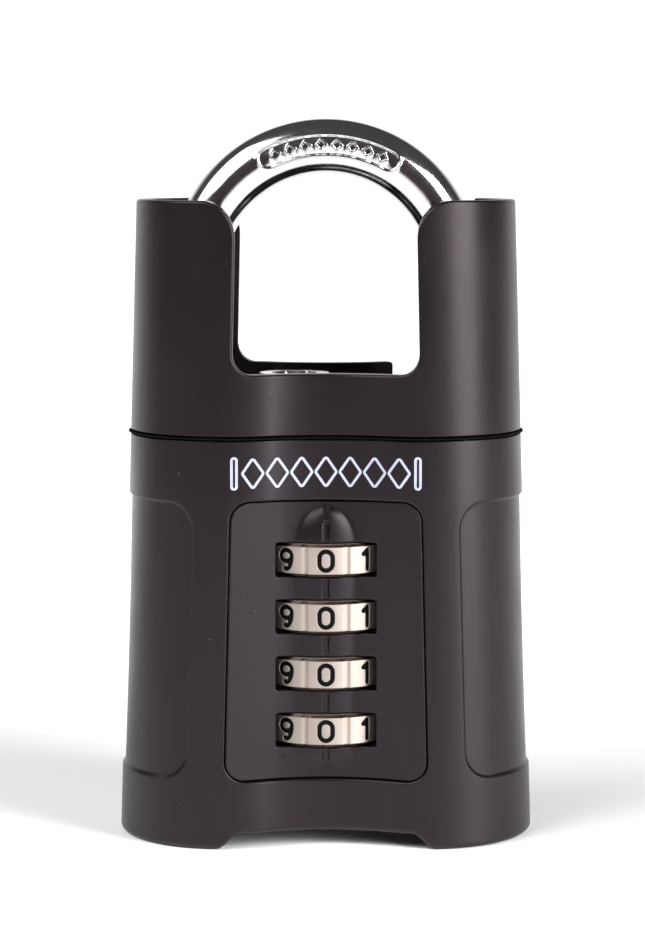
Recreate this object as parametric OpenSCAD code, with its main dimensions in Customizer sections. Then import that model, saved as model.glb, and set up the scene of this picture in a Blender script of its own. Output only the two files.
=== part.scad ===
// Shrouded combination padlock with four number dials.
// Origin at the centre of the base, +Z up, front towards -Y, millimetres.

/* [Casing] */
// Width over the foot, at the base
foot_w = 55.5; // [54:0.1:57]
// Width over the ears, at the top of the shroud
ear_w = 50.1; // [48.6:0.1:51]
// Radius of each end of the casing, at the base
foot_r = 14.2; // [13.9:0.1:14.8]
// Radius of each end of the casing, at the top of the shroud
ear_r = 13.2; // [12.9:0.1:13.6]
// How far the waist is drawn in from the ends, front and back
waist_dip = 2.6; // [2.2:0.1:2.8]
// Height of the seam between the body and the shroud
seam_z = 54.0; // [53.9:0.1:54.4]
// Height of the top of the ears
ear_top = 84.6; // [83:0.1:86]
// Wall of the body casing
case_wall = 2.2; // [2:0.1:2.3]
// Wall of the shroud
shroud_wall = 2.0; // [1.6:0.1:2.4]

/* [Base] */
// Height of the foot band
foot_band = 8.9; // [8:0.1:10]
// Height of the arch under the casing
arch_h = 2.0; // [1.6:0.1:2.1]
// Half width of the flat part of the arch
arch_flat = 11.7; // [11.5:0.1:12.5]
// Half width of the arch where it meets the ground
arch_foot = 14.0; // [13.5:0.1:15]

/* [Side recess and face plate] */
// Top of the recessed side panels
recess_top = 45.6; // [44:0.1:46]
// Depth of the side panels
recess_depth = 0.5; // [0.3:0.1:0.7]
// Distance of the side panels' edge from the middle
recess_x = 17.6; // [17:0.1:19]
// Bottom of the face plate
plate_z0 = 9.0; // [8.8:0.1:9.4]
// Top of the face plate
plate_z1 = 45.7; // [45.4:0.1:46]
// Half width of the face plate at its top
plate_top_w = 12.3; // [12:0.1:12.8]
// Half width of the face plate at its bottom
plate_foot_w = 13.2; // [12.8:0.1:13.6]
// How far the face plate lies below the casing's surface
plate_recess = 0.38; // [0.2:0.02:0.5]
// Half width of the rib that the dials stand out of
rib_half = 3.7; // [3:0.1:4.4]

/* [Shroud opening] */
// Top of the shroud's floor
floor_z = 60.0; // [59.8:0.1:60.2]
// Lower edge of the opening
opening_z = 62.2; // [61.8:0.1:63]
// Half width of the opening at its lower edge
opening_foot_w = 12.1; // [11.8:0.1:12.3]
// Half width of the opening at the top of the ears
opening_top_w = 11.6; // [11.4:0.1:12]
// Near edge of the slot behind the toe leg
slot_x0 = 8.65; // [8.4:0.05:9.5]
// Far edge of the slot behind the toe leg
slot_x1 = 21.4; // [21.2:0.1:21.8]

/* [Shackle] */
// Diameter of the shackle's bar
bar_d = 7.4; // [7:0.1:7.6]
// Distance between the two legs, centre to centre
leg_span = 34.4; // [34:0.1:34.8]
// Height of the shackle over all
top_z = 95.2; // [95:0.1:97]
// Lower end of the long heel leg
heel_z = 28.0; // [27:0.5:32]
// Lower end of the short toe leg
toe_z = 52.8; // [52.6:0.1:53]
// Travel of the shackle when it opens, one dial pitch
lift = 7.5; // [7.4:0.1:7.6]

/* [Dials] */
// Radius of a dial
dial_r = 8.9; // [8.7:0.05:9]
// Thickness of a dial
dial_h = 4.2; // [4:0.1:4.3]
// Distance between dials
dial_pitch = 7.5; // [7.4:0.1:7.6]
// Height of the topmost dial's middle
dial_top_z = 38.0; // [37.8:0.1:38.2]
// Depth of the spindle's axis in front of the middle
spindle_y = -3.9; // [-4:0.1:-3.8]
// Radius of the spindle
spindle_r = 2.5; // [2.3:0.1:2.6]
// Number of digits on a dial
digits = 10; // [8:1:10]

/* [Reset button] */
// Distance of the button from the middle
reset_x = -4.2; // [-5:0.1:-3.5]
// Radius of the button
reset_r = 2.9; // [2.6:0.1:3]
// Travel of the button
reset_travel = 2.0; // [1.5:0.1:2]

/* [Hidden] */
$fn = 64;

slack = 0.08;
loose = 0.25;
past = 1;
far = 40;

gasket_t = 0.5;
gasket_z = seam_z - gasket_t + 0.2;
gasket_proud = 0.4;
shroud_z = gasket_z + gasket_t;
drill_t = 1.4;
drill_z = gasket_z - drill_t;
core_z0 = 5.5;
core_inset = case_wall + 0.2;
foot_round = 0.8;

leg_x = leg_span / 2;
bar_r = bar_d / 2;
arch_z = top_z - bar_r - leg_x;
bush_r = 5.0;
groove_r = 2.6;

dials = [for (i = [0:3]) dial_top_z - i * dial_pitch];
slot_half = dial_h / 2 + 0.1;
window_half = dial_h / 2 + 0.15;
window_w = 6.4;
rib_r = dial_r - 0.7;
sleeve_r = 5.0;
fin_r = 3.5;
fin_half_w = 0.6;
fin_half_h = 1.3;
web_bore = 3.7;
key_half = 0.5;
key_out = 0.6;

yoke_t = 1.6;
yoke_z = dial_top_z + 3.5;
yoke_eye = 4.0;
yoke_ring = 4.4;
neck_r = 1.6;
clip_t = 0.6;
clip_groove_r = 1.25;

screw_at = [[-10, 7.2], [10, 7.2]];
screw_r = 1.5;
screw_head_r = 2.8;
screw_head_z = arch_h + 0.2;
screw_head_h = 1.7;
screw_top = 58.5;

comb_y = 7.6;
comb_t = 0.4;
comb_w = 3.8;
comb_tip_y = 5.2;
comb_z0 = 9.0;
comb_z1 = 45.0;
comb_screw_z = [10.7, 43.3];

collar_top = floor_z + 1.6;
pocket_top = floor_z - 1.3;
pocket_r = 4.0;
reset_flange_r = 3.8;
reset_flange_t = 1.0;
reset_top = collar_top - 0.4;
spigot_r = 3.6;
spring_wire_r = 0.25;
spring_turns = 3;

// ---- outlines ----

// The casing narrows evenly from the base to the top of the ears
function taper(low, high, z) = low + (high - low) * z / ear_top;
function half_w(z) = taper(foot_w, ear_w, z) / 2;
function end_r(z) = taper(foot_r, ear_r, z);

// Points on an arc about centre c, n steps from angle a to b
function arc(c, r, a, b, n) =
    [for (i = [0:n]) c + r * [cos(a + (b - a) * i / n), sin(a + (b - a) * i / n)]];

// Pulls the points beyond recess_x in towards the end's centre
function sunk(pts, c, depth) =
    [for (p = pts) abs(p.x) > recess_x ? p - depth * (p - c) / norm(p - c) : p];

// Waisted outline of the casing at height z, moved in by inset, with its ends sunk by depth
function outline(z, inset = 0, depth = 0) =
    let (
        r = end_r(z),
        c = half_w(z) - r,
        t = r - waist_dip,
        waist_r = (c * c + t * t - r * r) / (2 * (r - t)),
        turn = atan2(t + waist_r, -c),
        lean = turn - 90,
        right = arc([c, 0], r - inset, -turn, turn, 26),
        back = arc([0, t + waist_r], waist_r + inset, lean - 90, -90 - lean, 10),
        left = arc([-c, 0], r - inset, 180 - turn, 180 + turn, 26),
        front = arc([0, -t - waist_r], waist_r + inset, 90 + lean, 90 - lean, 10),
        inner = function (pts) [for (i = [1:len(pts) - 2]) pts[i]]
    )
    concat(
        sunk(right, [c, 0], depth), inner(back),
        sunk(left, [-c, 0], depth), inner(front)
    );

function raised(pts, z) = [for (p = pts) [p.x, p.y, z]];

// One rounded corner at b, between its neighbours a and c
function corner(a, b, c, r, n = 8) =
    r == 0 ? [b] :
    let (
        u = (a - b) / norm(a - b),
        v = (c - b) / norm(c - b),
        half = acos(u * v) / 2,
        centre = b + (u + v) / norm(u + v) * r / sin(half),
        from = b + u * r / tan(half) - centre,
        to = b + v * r / tan(half) - centre,
        a0 = atan2(from.y, from.x),
        swing = atan2(from.x * to.y - from.y * to.x, from * to)
    )
    arc(centre, r, a0, a0 + swing, n);

// A polygon with each corner rounded by its own radius
function rounded(pts, radii) =
    let (n = len(pts))
    [for (i = [0:n - 1]) each corner(pts[(i + n - 1) % n], pts[i], pts[(i + 1) % n], radii[i])];

// ---- shared shapes ----

// Skin through rings that have the same number of points, closed by its first and last ring
module loft(rings) {
    n = len(rings[0]);
    last = (len(rings) - 1) * n;
    polyhedron(
        points = [for (ring = rings) each ring],
        faces = concat(
            [[for (i = [0:n - 1]) i]],
            [for (k = [0:len(rings) - 2], i = [0:n - 1])
                [k * n + i, (k + 1) * n + i, (k + 1) * n + (i + 1) % n, k * n + (i + 1) % n]],
            [[for (i = [n - 1:-1:0]) last + i]]
        )
    );
}

// Straight slice of the casing's outline at height z
module slab(z, inset, z0, z1) {
    translate([0, 0, z0])
        linear_extrude(z1 - z0)
            polygon(outline(z, inset));
}

// An outline drawn in X and Z, extruded from y0 to y1
module through_y(y0, y1) {
    translate([0, y1, 0])
        rotate([90, 0, 0])
            linear_extrude(y1 - y0)
                children();
}

module rod(x, y, r, z0, z1) {
    translate([x, y, z0])
        cylinder(r = r, h = z1 - z0);
}

module tube(x, y, r_out, r_in, z0, z1) {
    difference() {
        rod(x, y, r_out, z0, z1);
        rod(x, y, r_in, z0 - past, z1 + past);
    }
}

module block(x0, x1, y0, y1, z0, z1) {
    translate([x0, y0, z0])
        cube([x1 - x0, y1 - y0, z1 - z0]);
}

// Holes for the two tie screws
module screw_holes(r, z0, z1) {
    for (at = screw_at)
        rod(at.x, at.y, r, z0, z1);
}

// Holes for both legs of the shackle
module leg_holes(r, z0, z1) {
    for (side = [-1, 1])
        rod(side * leg_x, 0, r, z0, z1);
}

// Front outline of the face plate, grown by grow
module plate_outline(grow) {
    polygon(rounded(
        [
            [-plate_foot_w - grow, plate_z0 - grow], [plate_foot_w + grow, plate_z0 - grow],
            [plate_top_w + grow, plate_z1 + grow], [-plate_top_w - grow, plate_z1 + grow]
        ],
        [for (i = [0:3]) 2.4 + grow]
    ));
}

// ---- fixed body ----

module body_case() {
    outer = [
        raised(outline(0, foot_round), 0),
        raised(outline(foot_round / 3, foot_round / 4), foot_round / 3),
        raised(outline(foot_round), foot_round),
        raised(outline(foot_band), foot_band),
        raised(outline(foot_band, 0, recess_depth), foot_band + recess_depth),
        raised(outline(recess_top, 0, recess_depth), recess_top - recess_depth),
        raised(outline(recess_top), recess_top),
        raised(outline(gasket_z), gasket_z)
    ];
    inner = [
        raised(outline(gasket_z, case_wall), gasket_z),
        raised(outline(core_z0, case_wall), core_z0)
    ];
    color("#2b272a")
        difference() {
            loft(concat(outer, inner));
            through_y(-far, far)
                polygon([
                    [-arch_foot, -past], [-arch_foot, 0],
                    [-(arch_foot + arch_flat) / 2, arch_h * 0.6],
                    [-arch_flat, arch_h], [arch_flat, arch_h],
                    [(arch_foot + arch_flat) / 2, arch_h * 0.6],
                    [arch_foot, 0], [arch_foot, -past]
                ]);
            through_y(-far, -6)
                plate_outline(0.05);
            screw_holes(screw_r + slack, 0, core_z0 + past);
            screw_holes(screw_head_r + slack, 0, screw_head_z + screw_head_h);
        }
}

// Layer of the face plate between two insets, within a front outline drawn by the child
module plate_layer(outer, inner, grow) {
    mid = (plate_z0 + plate_z1) / 2;
    intersection() {
        difference() {
            slab(mid, outer, plate_z0 - grow, plate_z1 + grow);
            slab(mid, inner, plate_z0 - grow - past, plate_z1 + grow + past);
        }
        through_y(-far, 0)
            children();
    }
}

module face_plate() {
    rim = 1.6;
    flange_back = case_wall + 0.95;
    color("#2b272a")
        difference() {
            union() {
                plate_layer(plate_recess, case_wall, 0)
                    plate_outline(0);
                plate_layer(plate_recess, flange_back, 0)
                    difference() {
                        plate_outline(0);
                        plate_outline(-rim);
                    }
                plate_layer(case_wall + 0.25, flange_back, 0.8)
                    difference() {
                        plate_outline(0.8);
                        plate_outline(-rim);
                    }
                intersection() {
                    rod(0, spindle_y, rib_r, plate_z0 + 1.5, plate_z1 - 0.4);
                    block(-rib_half, rib_half, -far, -9.6, plate_z0, plate_z1);
                }
            }
            for (z = dials)
                block(-window_w, window_w, -far, 0, z - window_half, z + window_half);
            block(-0.65, 0.65, -far, spindle_y - rib_r + 0.3, plate_z0 + 1, dial_top_z + 5.6);
        }
}

module lock_core() {
    color("#b9b7b2")
        difference() {
            slab(drill_z, core_inset, core_z0, drill_z);
            block(-14.4, 14.4, -far, -8.0, plate_z0 - 1.2, plate_z1 + 1.2);
            for (z = dials) {
                rod(0, spindle_y, dial_r + loose, z - slot_half, z + slot_half);
                block(-2, 2, 3, far, z - 1.8, z + 1.8);
            }
            rod(0, spindle_y, spindle_r + slack, core_z0 - past, dials[3]);
            rod(0, spindle_y, web_bore, dials[3] - 5.3, yoke_z);
            rod(-leg_x, 0, bar_r + loose, heel_z - 1, drill_z + past);
            rod(-leg_x, 0, yoke_ring + 0.2, yoke_z - 0.2, drill_z + past);
            rod(0, spindle_y, yoke_eye + 0.2, yoke_z - 0.2, drill_z + past);
            block(-leg_x, 0, spindle_y - 2.7, spindle_y + 1.7, yoke_z - 0.2, drill_z + past);
            screw_holes(screw_r + slack, core_z0 - past, drill_z + past);
            block(-comb_w - 0.2, comb_w + 0.2, comb_y, far, comb_z0 - 0.2, comb_z1 + 0.2);
            for (z = comb_screw_z)
                translate([0, 5.4, z])
                    rotate([-90, 0, 0])
                        cylinder(r = 0.8, h = 4);
        }
}

module drill_plate() {
    color("#8d9096")
        difference() {
            slab(drill_z, core_inset, drill_z, gasket_z);
            leg_holes(bar_r + loose, drill_z - past, gasket_z + past);
            screw_holes(screw_r + slack, drill_z - past, gasket_z + past);
        }
}

module seam_gasket() {
    color("#141214")
        difference() {
            slab(seam_z, -gasket_proud, gasket_z, shroud_z);
            leg_holes(bar_r + loose, gasket_z - past, shroud_z + past);
            screw_holes(screw_r + slack, gasket_z - past, shroud_z + past);
            rod(reset_x, 0, pocket_r, gasket_z - past, shroud_z + past);
        }
}

module shroud() {
    outer = [
        raised(outline(shroud_z), shroud_z),
        raised(outline(ear_top), ear_top + past)
    ];
    inner = [
        raised(outline(ear_top, shroud_wall), ear_top + past),
        raised(outline(floor_z, shroud_wall), floor_z)
    ];
    color("#2b272a")
        difference() {
            loft(concat(outer, inner));
            through_y(-far, far)
                polygon(rounded(
                    [
                        [-far, ear_top], [-opening_top_w, ear_top],
                        [-opening_foot_w, opening_z], [opening_foot_w, opening_z],
                        [opening_top_w, ear_top], [far, ear_top],
                        [far, top_z], [-far, top_z]
                    ],
                    [0, 5, 2.8, 2.8, 5, 0, 0, 0]
                ));
            block(slot_x0, slot_x1, 0, far, floor_z, top_z);
            leg_holes(bush_r, shroud_z - past, floor_z + past);
            screw_holes(screw_r, shroud_z - past, screw_top + 0.3);
            rod(reset_x, 0, pocket_r, shroud_z - past, pocket_top);
            rod(reset_x, 0, spigot_r, shroud_z, floor_z + past);
        }
}

module heel_bush() {
    color("#c9c9cc")
        tube(-leg_x, 0, bush_r, bar_r + slack, shroud_z, floor_z);
}

module toe_bush() {
    color("#c9c9cc")
        tube(leg_x, 0, bush_r, bar_r + slack, shroud_z, floor_z);
}

module reset_bush() {
    color("#dcdce0")
        difference() {
            union() {
                translate([reset_x, 0, floor_z])
                    rotate_extrude()
                        polygon([
                            [reset_r + slack, 0], [bush_r, 0], [bush_r, collar_top - floor_z - 0.4],
                            [bush_r - 0.4, collar_top - floor_z],
                            [reset_r + slack, collar_top - floor_z]
                        ]);
                rod(reset_x, 0, spigot_r, pocket_top, floor_z + 0.5);
            }
            rod(reset_x, 0, reset_r + slack, pocket_top - past, collar_top + past);
        }
}

module tie_screws() {
    color("#9a9ca1")
        for (at = screw_at)
            difference() {
                union() {
                    rod(at.x, at.y, screw_head_r, screw_head_z, screw_head_z + screw_head_h);
                    rod(at.x, at.y, screw_r, screw_head_z + 1, screw_top);
                }
                translate([at.x, at.y, screw_head_z - past])
                    cylinder(r = 1.5, h = past + 1, $fn = 6);
            }
}

module detent_comb() {
    color("#b4b0a4")
        difference() {
            union() {
                block(-comb_w, comb_w, comb_y, comb_y + comb_t, comb_z0, comb_z1);
                for (z = dials) {
                    block(-1.5, 1.5, comb_tip_y, comb_y + comb_t, z + 1.2, z + 1.6);
                    block(-1.5, 1.5, comb_tip_y, comb_tip_y + comb_t, z - 1.4, z + 1.6);
                }
            }
            for (z = comb_screw_z)
                translate([0, comb_y - past, z])
                    rotate([-90, 0, 0])
                        cylinder(r = 0.8, h = 2 * past);
        }
}

module detent_screws() {
    color("#9a9ca1")
        for (z = comb_screw_z)
            translate([0, comb_y + comb_t, z])
                rotate([90, 0, 0])
                    difference() {
                        union() {
                            cylinder(r = 0.8, h = 2.4);
                            translate([0, 0, -0.5])
                                cylinder(r = 1.6, h = 0.5);
                        }
                        translate([-0.2, -2, -1])
                            cube([0.4, 4, 0.75]);
                    }
}

// ---- shackle and what rises with it ----

module shackle() {
    lead = 0.8;
    color("#d4d4d8")
        difference() {
            union() {
                for (leg = [[-leg_x, heel_z], [leg_x, toe_z]]) {
                    rod(leg[0], 0, bar_r, leg[1] + lead, arch_z);
                    translate([leg[0], 0, leg[1]])
                        cylinder(r1 = bar_r - lead, r2 = bar_r, h = lead);
                }
                translate([0, 0, arch_z])
                    rotate([90, 0, 0])
                        rotate_extrude(angle = 180)
                            translate([leg_x, 0])
                                circle(r = bar_r);
            }
            tube(-leg_x, 0, bar_r + past, groove_r, yoke_z - 0.05, yoke_z + yoke_t + 0.05);
        }
}

module yoke() {
    color("#a8a49a")
        difference() {
            union() {
                rod(0, spindle_y, yoke_eye, yoke_z, yoke_z + yoke_t);
                rod(-leg_x, 0, yoke_ring, yoke_z, yoke_z + yoke_t);
                block(-leg_x, 0, spindle_y - 2.5, spindle_y + 1.5, yoke_z, yoke_z + yoke_t);
            }
            rod(0, spindle_y, neck_r, yoke_z - past, yoke_z + yoke_t + past);
            rod(-leg_x, 0, groove_r + 0.05, yoke_z - past, yoke_z + yoke_t + past);
            block(-leg_x - groove_r, -leg_x + groove_r, 0, far, yoke_z - past, yoke_z + 2 * yoke_t);
        }
}

module spindle() {
    clip_z = yoke_z + yoke_t;
    color("#8d9096")
        difference() {
            union() {
                rod(0, spindle_y, spindle_r, core_z0 + 0.5, yoke_z);
                rod(0, spindle_y, neck_r, yoke_z, clip_z + 2 * clip_t);
                for (z = dials)
                    block(
                        -fin_half_w, fin_half_w, spindle_y, spindle_y + fin_r,
                        z - dial_pitch / 2 - fin_half_h, z - dial_pitch / 2 + fin_half_h
                    );
            }
            tube(0, spindle_y, neck_r + past, clip_groove_r, clip_z, clip_z + clip_t);
        }
}

module spindle_clip() {
    z = yoke_z + yoke_t;
    color("#5c5f66")
        difference() {
            tube(0, spindle_y, 3.0, clip_groove_r, z, z + clip_t);
            block(-0.9, 0.9, spindle_y, spindle_y + far, z - past, z + clip_t + past);
        }
}

// ---- dials ----

// Number dial with a flute between every two digits and notches for its sleeve's keys
module dial(z) {
    chamfer = 0.35;
    flute_r = 2.2;
    flute_depth = 0.2;
    half = dial_h / 2;
    color("#cfc6b8")
        translate([0, spindle_y, z])
            difference() {
                rotate_extrude()
                    polygon([
                        [sleeve_r, -half], [dial_r - chamfer, -half], [dial_r, -half + chamfer],
                        [dial_r, half - chamfer], [dial_r - chamfer, half], [sleeve_r, half]
                    ]);
                for (i = [0:digits - 1])
                    rotate(-90 + (i + 0.5) * 360 / digits)
                        translate([dial_r + flute_r - flute_depth, 0, -half - past])
                            cylinder(r = flute_r, h = dial_h + 2 * past);
                for (side = [-1, 1])
                    translate([side * sleeve_r - key_out, -key_half, -half - past])
                        cube([2 * key_out, 2 * key_half, dial_h + 2 * past]);
            }
}

// Code sleeve with two keys and the gate that lets a spindle fin pass
module sleeve(z) {
    half = dial_h / 2;
    color("#b5934d")
        translate([0, spindle_y, z])
            difference() {
                union() {
                    translate([0, 0, -half])
                        cylinder(r = sleeve_r, h = dial_h);
                    for (side = [-1, 1])
                        translate([side * sleeve_r - key_out, -key_half, -half])
                            cube([2 * key_out, 2 * key_half, dial_h]);
                }
                translate([0, 0, -half - past])
                    cylinder(r = spindle_r + slack, h = dial_h + 2 * past);
                translate([-fin_half_w - loose, 0, -half - past])
                    cube([2 * (fin_half_w + loose), fin_r + loose, dial_h + 2 * past]);
            }
}

// ---- reset button ----

module reset_plunger() {
    flange_z = pocket_top - 0.1 - reset_flange_t;
    color("#c9c9cc")
        difference() {
            union() {
                rod(reset_x, 0, reset_r, flange_z, reset_top);
                rod(reset_x, 0, reset_flange_r, flange_z, flange_z + reset_flange_t);
                rod(reset_x, 0, 1.4, flange_z - 1.6, flange_z);
            }
            block(reset_x - 2, reset_x + 2, -0.4, 0.4, reset_top - 0.6, reset_top + past);
        }
}

// Coil of round wire between the drill plate and the button's flange
module reset_spring() {
    coil_r = 2.9;
    sides = 6;
    steps = 16 * spring_turns;
    z0 = gasket_z + spring_wire_r;
    z1 = pocket_top - 0.1 - reset_flange_t - spring_wire_r;
    ring = function (i)
        let (a = 360 * spring_turns * i / steps)
        [for (k = [0:sides - 1])
            let (b = 360 * k / sides, r = coil_r + spring_wire_r * cos(b))
            [
                reset_x + r * cos(a), -r * sin(a),
                z0 + (z1 - z0) * i / steps - spring_wire_r * sin(b) * 0.98
            ]];
    color("#9a9ca1")
        loft([for (i = [0:steps]) ring(i)]);
}

body_case();
face_plate();
lock_core();
drill_plate();
seam_gasket();
shroud();
heel_bush();
toe_bush();
reset_bush();
tie_screws();
detent_comb();
detent_screws();
shackle();
yoke();
spindle();
spindle_clip();
dial(dials[0]);  // dial_1
dial(dials[1]);  // dial_2
dial(dials[2]);  // dial_3
dial(dials[3]);  // dial_4
sleeve(dials[0]);  // sleeve_1
sleeve(dials[1]);  // sleeve_2
sleeve(dials[2]);  // sleeve_3
sleeve(dials[3]);  // sleeve_4
reset_plunger();
reset_spring();
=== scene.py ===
import math
import random

import bpy
import numpy as np
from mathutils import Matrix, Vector
from mathutils.geometry import delaunay_2d_cdt


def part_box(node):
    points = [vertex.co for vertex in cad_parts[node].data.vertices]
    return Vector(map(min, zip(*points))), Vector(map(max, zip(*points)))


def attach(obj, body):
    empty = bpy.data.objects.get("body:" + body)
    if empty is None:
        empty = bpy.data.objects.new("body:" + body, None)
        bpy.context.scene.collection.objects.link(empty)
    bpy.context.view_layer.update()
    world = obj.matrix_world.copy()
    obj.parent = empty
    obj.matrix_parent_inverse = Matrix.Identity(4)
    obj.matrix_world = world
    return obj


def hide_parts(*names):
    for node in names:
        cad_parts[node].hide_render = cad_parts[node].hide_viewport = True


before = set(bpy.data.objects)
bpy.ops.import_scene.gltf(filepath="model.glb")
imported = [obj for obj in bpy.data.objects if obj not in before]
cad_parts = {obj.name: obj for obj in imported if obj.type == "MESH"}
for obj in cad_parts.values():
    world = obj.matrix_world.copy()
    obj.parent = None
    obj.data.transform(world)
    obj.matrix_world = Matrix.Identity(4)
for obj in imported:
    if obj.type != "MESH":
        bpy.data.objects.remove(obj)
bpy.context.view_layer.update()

random.seed(7)

# ---------------------------------------------------------------- sizes, in millimetres

MM = 0.001
EAR_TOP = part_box("shroud")[1].z / MM
CASE_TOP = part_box("body_case")[1].z / MM
HALF_FOOT, HALF_EAR = 27.75, 25.05
END_FOOT, END_EAR = 14.2, 13.2
WAIST_DIP = 2.6
CASE_WALL, SHROUD_WALL = 2.2, 2.0
CASE_FLOOR = 5.5
ARCH_H, ARCH_FLAT, ARCH_FOOT = 2.0, 11.4, 14.3
FOOT_ROUND = 0.8

RECESS_X, RECESS_Z0, RECESS_Z1, RECESS_R = 17.6, 8.9, 45.85, 3.9
RECESS_DEPTH, RECESS_EDGE = 0.36, 0.55

PLATE_Z0, PLATE_Z1, PLATE_TOP_W, PLATE_FOOT_W, PLATE_R = 9.0, 45.7, 12.3, 13.2, 2.6
PLATE_RECESS = 0.38
WING_TURN = math.radians(19)
DOME_HALF, RIB_TOP, RIB_DOME, RIB_FOOT = 4.6, 44.9, 39.6, 10.6
RIB_SOFT = 0.25
GROOVE_HALF, GROOVE_DEPTH, GROOVE_TOP, GROOVE_FOOT = 0.55, 0.3, 43.2, 10.2

FLOOR_Z, SHROUD_Z = 60.0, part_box("shroud")[0].z / MM
OPENING_Z, OPENING_FOOT_W, OPENING_TOP_W = 62.2, 12.1, 11.6
OPENING_FOOT_R, OPENING_TOP_R = 2.8, 5.0
SLOT_X0, SLOT_X1 = 8.65, 21.4
BUSH_R, SPIGOT_R = 5.0, 3.6
SCREWS = [(-10.0, 7.2), (10.0, 7.2)]
SCREW_HEAD_R, SCREW_HEAD_TOP = 2.88, 3.9

BAR_R = 3.7
LEG_X = 17.2
SHACKLE_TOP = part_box("shackle")[1].z / MM
HEEL_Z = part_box("shackle")[0].z / MM
TOE_Z = 52.8
ARCH_Z = SHACKLE_TOP - BAR_R - LEG_X
HEEL_GROOVE_Z, HEEL_GROOVE_H, HEEL_GROOVE_DEPTH = 42.3, 1.7, 1.1

DIAL_R, DIAL_H, DIAL_BORE = 8.9, 4.2, 5.65
DIAL_CHAMFER = 0.35
SPINDLE_Y = -3.9
RESET_X = -4.2
DIALS = {n: (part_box(n)[0].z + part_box(n)[1].z) / 2 / MM for n in ("dial_1", "dial_2", "dial_3", "dial_4")}
WINDOW_W, WINDOW_HALF = 6.4, 2.25


# ---------------------------------------------------------------- small helpers

def smooth(t):
    """0 below 0, 1 above 1, and an even curve between."""
    t = np.clip(t, 0.0, 1.0)
    return t * t * (3 - 2 * t)


def unit(v):
    return v / np.maximum(np.linalg.norm(v, axis=-1, keepdims=True), 1e-12)


def arc(cx, cy, r, a, b, n):
    turn = np.linspace(a, b, n)
    return np.stack([cx + r * np.cos(turn), cy + r * np.sin(turn)], 1)


def resample(points, step, closed=True):
    """The same line with no stretch longer than step."""
    points = np.asarray(points, float)
    ends = np.roll(points, -1, 0) if closed else points[1:]
    out = []
    for p, q in zip(points, ends):
        n = max(1, math.ceil(np.linalg.norm(q - p) / step))
        out += [p + (q - p) * i / n for i in range(n)]
    if not closed:
        out.append(points[-1])
    return np.array(out)


def rounded(points, radii, steps=8, closed=True):
    """A line whose corners are rounded, each by its own radius."""
    points = np.asarray(points, float)
    n = len(points)
    out = []
    for i, r in enumerate(radii):
        b = points[i]
        if r == 0 or (not closed and i in (0, n - 1)):
            out.append(b)
            continue
        a, c = points[i - 1], points[(i + 1) % n]
        u, v = unit(a - b), unit(c - b)
        half = math.acos(float(np.clip(u @ v, -1, 1))) / 2
        centre = b + unit(u + v) * r / math.sin(half)
        start, end = b + u * r / math.tan(half) - centre, b + v * r / math.tan(half) - centre
        a0 = math.atan2(start[1], start[0])
        swing = math.atan2(start[0] * end[1] - start[1] * end[0], start @ end)
        out += list(arc(centre[0], centre[1], r, a0, a0 + swing, steps + 1))
    return np.array(out)


def inward(points, closed=True):
    """Unit direction at each point, to the left of the line's course."""
    if closed:
        along = unit(np.roll(points, -1, 0) - points) + unit(points - np.roll(points, 1, 0))
    else:
        step = unit(np.diff(points, axis=0))
        along = np.vstack([step[:1], step[1:] + step[:-1], step[-1:]])
    along = unit(along)
    return np.stack([-along[:, 1], along[:, 0]], 1)


def counterclockwise(loop):
    x, y = loop[:, 0], loop[:, 1]
    area = (x * np.roll(y, -1) - y * np.roll(x, -1)).sum()
    return loop if area > 0 else loop[::-1]


def inside(points, loops):
    """Which points lie inside an odd number of the loops."""
    hit = np.zeros(len(points), bool)
    px, py = points[:, 0:1], points[:, 1:2]
    for loop in loops:
        x0, y0 = loop[:, 0], loop[:, 1]
        x1, y1 = np.roll(x0, -1), np.roll(y0, -1)
        rise = np.where(y1 == y0, 1e-30, y1 - y0)
        cross = ((y0 > py) != (y1 > py)) & (px < (x1 - x0) * (py - y0) / rise + x0)
        hit ^= cross.sum(1) % 2 == 1
    return hit


def box_distance(u, v, u0, u1, v0, v1, r):
    """Distance from a rounded rectangle's edge, positive inside it."""
    qu = np.abs(u - (u0 + u1) / 2) - (u1 - u0) / 2 + r
    qv = np.abs(v - (v0 + v1) / 2) - (v1 - v0) / 2 + r
    outer = np.hypot(np.maximum(qu, 0), np.maximum(qv, 0))
    return r - outer - np.minimum(np.maximum(qu, qv), 0)


def within(triangles, walls):
    """Which triangles lie within the loops, whose edges are the walls. It starts outside, and
    every wall that is crossed leads in or out."""
    sides = {}
    for i, (a, b, c) in enumerate(triangles):
        for edge in ((a, b), (b, c), (c, a)):
            sides.setdefault(tuple(sorted(edge)), []).append(i)
    outside = -1
    links = {}
    for edge, pair in sides.items():
        i, j = (pair + [outside])[:2]
        links.setdefault(i, []).append((j, edge in walls))
        links.setdefault(j, []).append((i, edge in walls))
    state, todo = {outside: False}, [outside]
    while todo:
        i = todo.pop()
        for j, crossing in links[i]:
            if j not in state:
                state[j] = state[i] != crossing
                todo.append(j)
    return np.array([state[i] for i in range(len(triangles))])


def box_loop(u0, u1, v0, v1, r, steps=8):
    return rounded([(u0, v0), (u1, v0), (u1, v1), (u0, v1)], [r] * 4, steps)


# ---------------------------------------------------------------- mesh building

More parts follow.
